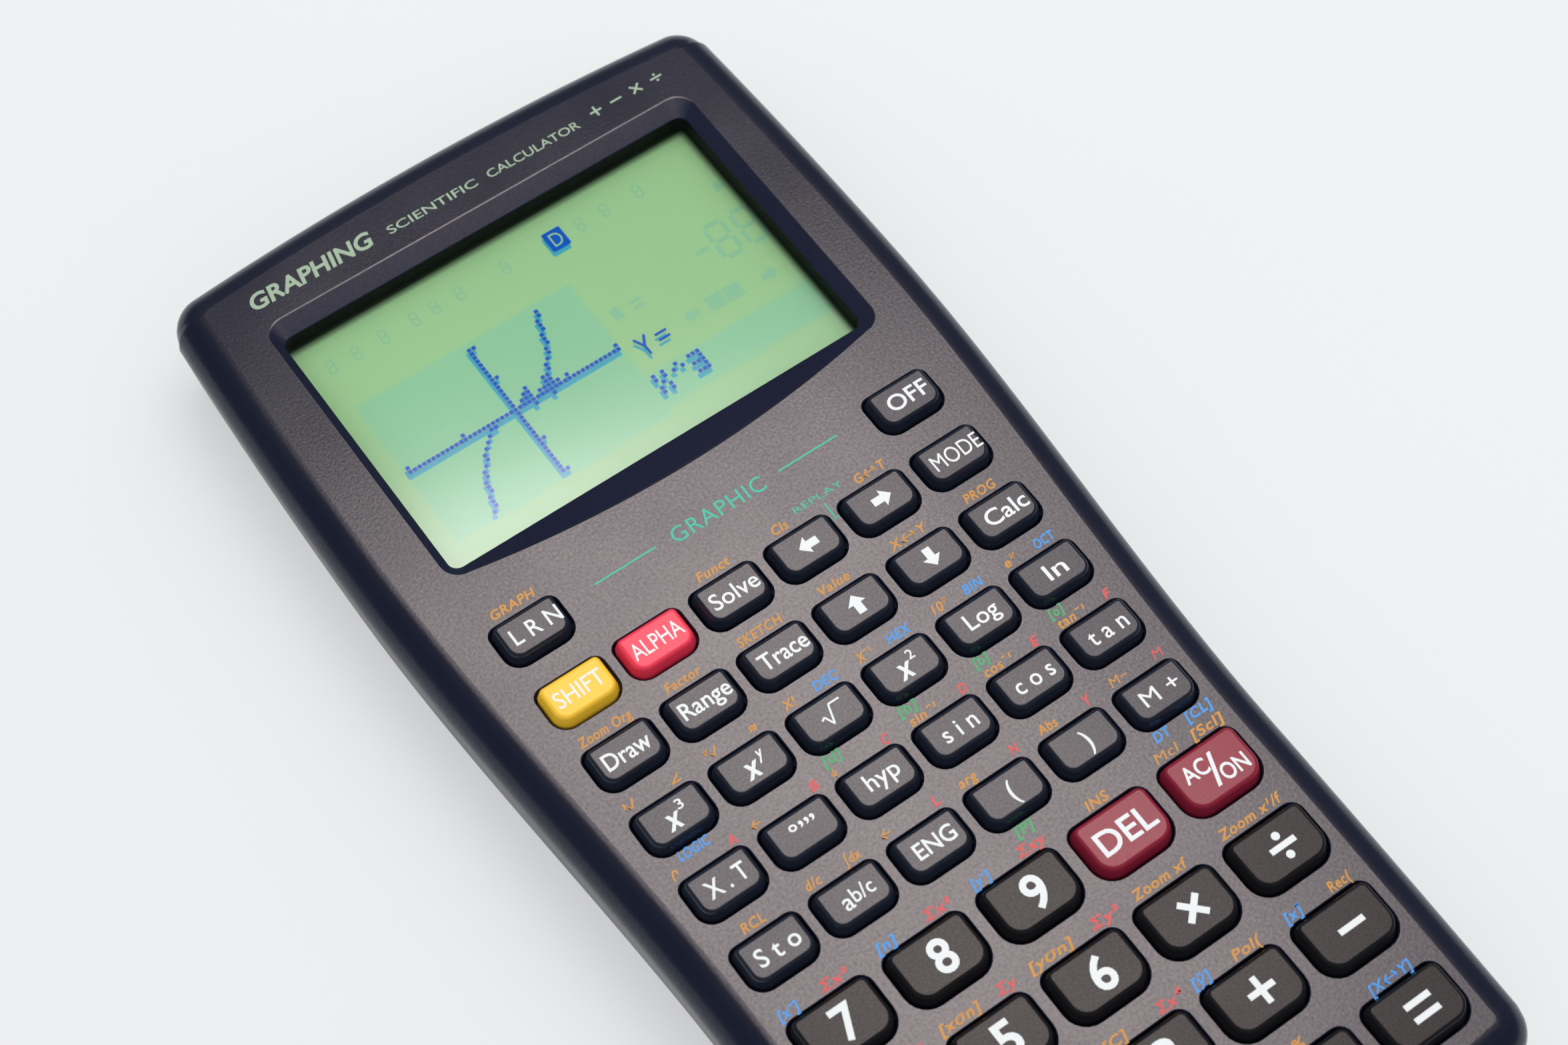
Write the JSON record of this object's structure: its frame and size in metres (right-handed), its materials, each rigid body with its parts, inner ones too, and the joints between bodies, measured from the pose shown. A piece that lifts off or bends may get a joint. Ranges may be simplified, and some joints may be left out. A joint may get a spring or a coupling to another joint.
{
  "type": "graphing calculator",
  "caption": "Handheld graphing calculator with a recessed dot-matrix display, rows of raised sprung keys on a waisted two-part case, and a hinged coin-cell cover in the back.",
  "frame": {"origin": "centre of the flat back face, at the bottom centre of the case's bounding box", "axes": "+Y along the case towards the display end, +X to the right as the keys are read, +Z out of the keys"},
  "size_m": [0.087, 0.1828, 0.018],
  "materials": {
    "case_plastic": "fine leather-grain moulded plastic, dark navy charcoal",
    "function_key_plastic": "satin dark grey plastic",
    "number_key_plastic": "satin near-black warm plastic",
    "shift_key_plastic": "satin yellow plastic",
    "alpha_key_plastic": "satin crimson plastic",
    "clear_key_plastic": "satin maroon plastic",
    "display_glass": "clear lens over a green reflective dot display",
    "circuit_board": "green solder mask on glass fibre board",
    "silicone": "grey moulded silicone rubber",
    "cell_steel": "nickel-plated steel can",
    "screw_steel": "zinc-plated steel"
  },
  "bodies": {
    "case": {"front_case": "case_plastic", "rear_case": "case_plastic", "display_module": "display_glass", "circuit_board": "circuit_board", "key_mat": "silicone", "batteries": "cell_steel", "screws": "screw_steel"},
    "cover": {"battery_cover": "case_plastic"},
    "key_lrn_body": {"key_lrn": "function_key_plastic"},
    "key_off_body": {"key_off": "function_key_plastic"},
    "key_shift_body": {"key_shift": "shift_key_plastic"},
    "key_alpha_body": {"key_alpha": "alpha_key_plastic"},
    "key_solve_body": {"key_solve": "function_key_plastic"},
    "key_left_body": {"key_left": "function_key_plastic"},
    "key_right_body": {"key_right": "function_key_plastic"},
    "key_mode_body": {"key_mode": "function_key_plastic"},
    "key_draw_body": {"key_draw": "function_key_plastic"},
    "key_range_body": {"key_range": "function_key_plastic"},
    "key_trace_body": {"key_trace": "function_key_plastic"},
    "key_up_body": {"key_up": "function_key_plastic"},
    "key_down_body": {"key_down": "function_key_plastic"},
    "key_calc_body": {"key_calc": "function_key_plastic"},
    "key_cube_body": {"key_cube": "function_key_plastic"},
    "key_power_body": {"key_power": "function_key_plastic"},
    "key_root_body": {"key_root": "function_key_plastic"},
    "key_square_body": {"key_square": "function_key_plastic"},
    "key_log_body": {"key_log": "function_key_plastic"},
    "key_ln_body": {"key_ln": "function_key_plastic"},
    "key_variable_body": {"key_variable": "function_key_plastic"},
    "key_degree_body": {"key_degree": "function_key_plastic"},
    "key_hyp_body": {"key_hyp": "function_key_plastic"},
    "key_sin_body": {"key_sin": "function_key_plastic"},
    "key_cos_body": {"key_cos": "function_key_plastic"},
    "key_tan_body": {"key_tan": "function_key_plastic"},
    "key_store_body": {"key_store": "function_key_plastic"},
    "key_fraction_body": {"key_fraction": "function_key_plastic"},
    "key_eng_body": {"key_eng": "function_key_plastic"},
    "key_open_bracket_body": {"key_open_bracket": "function_key_plastic"},
    "key_close_bracket_body": {"key_close_bracket": "function_key_plastic"},
    "key_memory_plus_body": {"key_memory_plus": "function_key_plastic"},
    "key_7_body": {"key_7": "number_key_plastic"},
    "key_8_body": {"key_8": "number_key_plastic"},
    "key_9_body": {"key_9": "number_key_plastic"},
    "key_delete_body": {"key_delete": "clear_key_plastic"},
    "key_clear_on_body": {"key_clear_on": "clear_key_plastic"},
    "key_4_body": {"key_4": "number_key_plastic"},
    "key_5_body": {"key_5": "number_key_plastic"},
    "key_6_body": {"key_6": "number_key_plastic"},
    "key_multiply_body": {"key_multiply": "number_key_plastic"},
    "key_divide_body": {"key_divide": "number_key_plastic"},
    "key_1_body": {"key_1": "number_key_plastic"},
    "key_2_body": {"key_2": "number_key_plastic"},
    "key_3_body": {"key_3": "number_key_plastic"},
    "key_plus_body": {"key_plus": "number_key_plastic"},
    "key_minus_body": {"key_minus": "number_key_plastic"},
    "key_0_body": {"key_0": "number_key_plastic"},
    "key_point_body": {"key_point": "number_key_plastic"},
    "key_exponent_body": {"key_exponent": "number_key_plastic"},
    "key_answer_body": {"key_answer": "number_key_plastic"},
    "key_equals_body": {"key_equals": "number_key_plastic"}
  },
  "joints": [
    {"name": "cover_hinge", "type": "hinge", "parent": "case", "child": "cover", "pos_m": [0, 0.0382, 0.0011], "axis": [-1, 0, 0], "range_deg": [0, 75], "stiffness_Nm_per_rad": 0.02, "springref_deg": -14.32},
    {"name": "key_lrn_press", "type": "slide", "parent": "case", "child": "key_lrn_body", "axis": [0, 0, -1], "range_m": [0, 0.0012], "stiffness_N_per_m": 100, "springref_m": -0.001},
    {"name": "key_off_press", "type": "slide", "parent": "case", "child": "key_off_body", "axis": [0, 0, -1], "range_m": [0, 0.0012], "stiffness_N_per_m": 100, "springref_m": -0.001},
    {"name": "key_shift_press", "type": "slide", "parent": "case", "child": "key_shift_body", "axis": [0, 0, -1], "range_m": [0, 0.0012], "stiffness_N_per_m": 100, "springref_m": -0.001},
    {"name": "key_alpha_press", "type": "slide", "parent": "case", "child": "key_alpha_body", "axis": [0, 0, -1], "range_m": [0, 0.0012], "stiffness_N_per_m": 100, "springref_m": -0.001},
    {"name": "key_solve_press", "type": "slide", "parent": "case", "child": "key_solve_body", "axis": [0, 0, -1], "range_m": [0, 0.0012], "stiffness_N_per_m": 100, "springref_m": -0.001},
    {"name": "key_left_press", "type": "slide", "parent": "case", "child": "key_left_body", "axis": [0, 0, -1], "range_m": [0, 0.0012], "stiffness_N_per_m": 100, "springref_m": -0.001},
    {"name": "key_right_press", "type": "slide", "parent": "case", "child": "key_right_body", "axis": [0, 0, -1], "range_m": [0, 0.0012], "stiffness_N_per_m": 100, "springref_m": -0.001},
    {"name": "key_mode_press", "type": "slide", "parent": "case", "child": "key_mode_body", "axis": [0, 0, -1], "range_m": [0, 0.0012], "stiffness_N_per_m": 100, "springref_m": -0.001},
    {"name": "key_draw_press", "type": "slide", "parent": "case", "child": "key_draw_body", "axis": [0, 0, -1], "range_m": [0, 0.0012], "stiffness_N_per_m": 100, "springref_m": -0.001},
    {"name": "key_range_press", "type": "slide", "parent": "case", "child": "key_range_body", "axis": [0, 0, -1], "range_m": [0, 0.0012], "stiffness_N_per_m": 100, "springref_m": -0.001},
    {"name": "key_trace_press", "type": "slide", "parent": "case", "child": "key_trace_body", "axis": [0, 0, -1], "range_m": [0, 0.0012], "stiffness_N_per_m": 100, "springref_m": -0.001},
    {"name": "key_up_press", "type": "slide", "parent": "case", "child": "key_up_body", "axis": [0, 0, -1], "range_m": [0, 0.0012], "stiffness_N_per_m": 100, "springref_m": -0.001},
    {"name": "key_down_press", "type": "slide", "parent": "case", "child": "key_down_body", "axis": [0, 0, -1], "range_m": [0, 0.0012], "stiffness_N_per_m": 100, "springref_m": -0.001},
    {"name": "key_calc_press", "type": "slide", "parent": "case", "child": "key_calc_body", "axis": [0, 0, -1], "range_m": [0, 0.0012], "stiffness_N_per_m": 100, "springref_m": -0.001},
    {"name": "key_cube_press", "type": "slide", "parent": "case", "child": "key_cube_body", "axis": [0, 0, -1], "range_m": [0, 0.0012], "stiffness_N_per_m": 100, "springref_m": -0.001},
    {"name": "key_power_press", "type": "slide", "parent": "case", "child": "key_power_body", "axis": [0, 0, -1], "range_m": [0, 0.0012], "stiffness_N_per_m": 100, "springref_m": -0.001},
    {"name": "key_root_press", "type": "slide", "parent": "case", "child": "key_root_body", "axis": [0, 0, -1], "range_m": [0, 0.0012], "stiffness_N_per_m": 100, "springref_m": -0.001},
    {"name": "key_square_press", "type": "slide", "parent": "case", "child": "key_square_body", "axis": [0, 0, -1], "range_m": [0, 0.0012], "stiffness_N_per_m": 100, "springref_m": -0.001},
    {"name": "key_log_press", "type": "slide", "parent": "case", "child": "key_log_body", "axis": [0, 0, -1], "range_m": [0, 0.0012], "stiffness_N_per_m": 100, "springref_m": -0.001},
    {"name": "key_ln_press", "type": "slide", "parent": "case", "child": "key_ln_body", "axis": [0, 0, -1], "range_m": [0, 0.0012], "stiffness_N_per_m": 100, "springref_m": -0.001},
    {"name": "key_variable_press", "type": "slide", "parent": "case", "child": "key_variable_body", "axis": [0, 0, -1], "range_m": [0, 0.0012], "stiffness_N_per_m": 100, "springref_m": -0.001},
    {"name": "key_degree_press", "type": "slide", "parent": "case", "child": "key_degree_body", "axis": [0, 0, -1], "range_m": [0, 0.0012], "stiffness_N_per_m": 100, "springref_m": -0.001},
    {"name": "key_hyp_press", "type": "slide", "parent": "case", "child": "key_hyp_body", "axis": [0, 0, -1], "range_m": [0, 0.0012], "stiffness_N_per_m": 100, "springref_m": -0.001},
    {"name": "key_sin_press", "type": "slide", "parent": "case", "child": "key_sin_body", "axis": [0, 0, -1], "range_m": [0, 0.0012], "stiffness_N_per_m": 100, "springref_m": -0.001},
    {"name": "key_cos_press", "type": "slide", "parent": "case", "child": "key_cos_body", "axis": [0, 0, -1], "range_m": [0, 0.0012], "stiffness_N_per_m": 100, "springref_m": -0.001},
    {"name": "key_tan_press", "type": "slide", "parent": "case", "child": "key_tan_body", "axis": [0, 0, -1], "range_m": [0, 0.0012], "stiffness_N_per_m": 100, "springref_m": -0.001},
    {"name": "key_store_press", "type": "slide", "parent": "case", "child": "key_store_body", "axis": [0, 0, -1], "range_m": [0, 0.0012], "stiffness_N_per_m": 100, "springref_m": -0.001},
    {"name": "key_fraction_press", "type": "slide", "parent": "case", "child": "key_fraction_body", "axis": [0, 0, -1], "range_m": [0, 0.0012], "stiffness_N_per_m": 100, "springref_m": -0.001},
    {"name": "key_eng_press", "type": "slide", "parent": "case", "child": "key_eng_body", "axis": [0, 0, -1], "range_m": [0, 0.0012], "stiffness_N_per_m": 100, "springref_m": -0.001},
    {"name": "key_open_bracket_press", "type": "slide", "parent": "case", "child": "key_open_bracket_body", "axis": [0, 0, -1], "range_m": [0, 0.0012], "stiffness_N_per_m": 100, "springref_m": -0.001},
    {"name": "key_close_bracket_press", "type": "slide", "parent": "case", "child": "key_close_bracket_body", "axis": [0, 0, -1], "range_m": [0, 0.0012], "stiffness_N_per_m": 100, "springref_m": -0.001},
    {"name": "key_memory_plus_press", "type": "slide", "parent": "case", "child": "key_memory_plus_body", "axis": [0, 0, -1], "range_m": [0, 0.0012], "stiffness_N_per_m": 100, "springref_m": -0.001},
    {"name": "key_7_press", "type": "slide", "parent": "case", "child": "key_7_body", "axis": [0, 0, -1], "range_m": [0, 0.0012], "stiffness_N_per_m": 100, "springref_m": -0.001},
    {"name": "key_8_press", "type": "slide", "parent": "case", "child": "key_8_body", "axis": [0, 0, -1], "range_m": [0, 0.0012], "stiffness_N_per_m": 100, "springref_m": -0.001},
    {"name": "key_9_press", "type": "slide", "parent": "case", "child": "key_9_body", "axis": [0, 0, -1], "range_m": [0, 0.0012], "stiffness_N_per_m": 100, "springref_m": -0.001},
    {"name": "key_delete_press", "type": "slide", "parent": "case", "child": "key_delete_body", "axis": [0, 0, -1], "range_m": [0, 0.0012], "stiffness_N_per_m": 100, "springref_m": -0.001},
    {"name": "key_clear_on_press", "type": "slide", "parent": "case", "child": "key_clear_on_body", "axis": [0, 0, -1], "range_m": [0, 0.0012], "stiffness_N_per_m": 100, "springref_m": -0.001},
    {"name": "key_4_press", "type": "slide", "parent": "case", "child": "key_4_body", "axis": [0, 0, -1], "range_m": [0, 0.0012], "stiffness_N_per_m": 100, "springref_m": -0.001},
    {"name": "key_5_press", "type": "slide", "parent": "case", "child": "key_5_body", "axis": [0, 0, -1], "range_m": [0, 0.0012], "stiffness_N_per_m": 100, "springref_m": -0.001},
    {"name": "key_6_press", "type": "slide", "parent": "case", "child": "key_6_body", "axis": [0, 0, -1], "range_m": [0, 0.0012], "stiffness_N_per_m": 100, "springref_m": -0.001},
    {"name": "key_multiply_press", "type": "slide", "parent": "case", "child": "key_multiply_body", "axis": [0, 0, -1], "range_m": [0, 0.0012], "stiffness_N_per_m": 100, "springref_m": -0.001},
    {"name": "key_divide_press", "type": "slide", "parent": "case", "child": "key_divide_body", "axis": [0, 0, -1], "range_m": [0, 0.0012], "stiffness_N_per_m": 100, "springref_m": -0.001},
    {"name": "key_1_press", "type": "slide", "parent": "case", "child": "key_1_body", "axis": [0, 0, -1], "range_m": [0, 0.0012], "stiffness_N_per_m": 100, "springref_m": -0.001},
    {"name": "key_2_press", "type": "slide", "parent": "case", "child": "key_2_body", "axis": [0, 0, -1], "range_m": [0, 0.0012], "stiffness_N_per_m": 100, "springref_m": -0.001},
    {"name": "key_3_press", "type": "slide", "parent": "case", "child": "key_3_body", "axis": [0, 0, -1], "range_m": [0, 0.0012], "stiffness_N_per_m": 100, "springref_m": -0.001},
    {"name": "key_plus_press", "type": "slide", "parent": "case", "child": "key_plus_body", "axis": [0, 0, -1], "range_m": [0, 0.0012], "stiffness_N_per_m": 100, "springref_m": -0.001},
    {"name": "key_minus_press", "type": "slide", "parent": "case", "child": "key_minus_body", "axis": [0, 0, -1], "range_m": [0, 0.0012], "stiffness_N_per_m": 100, "springref_m": -0.001},
    {"name": "key_0_press", "type": "slide", "parent": "case", "child": "key_0_body", "axis": [0, 0, -1], "range_m": [0, 0.0012], "stiffness_N_per_m": 100, "springref_m": -0.001},
    {"name": "key_point_press", "type": "slide", "parent": "case", "child": "key_point_body", "axis": [0, 0, -1], "range_m": [0, 0.0012], "stiffness_N_per_m": 100, "springref_m": -0.001},
    {"name": "key_exponent_press", "type": "slide", "parent": "case", "child": "key_exponent_body", "axis": [0, 0, -1], "range_m": [0, 0.0012], "stiffness_N_per_m": 100, "springref_m": -0.001},
    {"name": "key_answer_press", "type": "slide", "parent": "case", "child": "key_answer_body", "axis": [0, 0, -1], "range_m": [0, 0.0012], "stiffness_N_per_m": 100, "springref_m": -0.001},
    {"name": "key_equals_press", "type": "slide", "parent": "case", "child": "key_equals_body", "axis": [0, 0, -1], "range_m": [0, 0.0012], "stiffness_N_per_m": 100, "springref_m": -0.001}
  ]
}
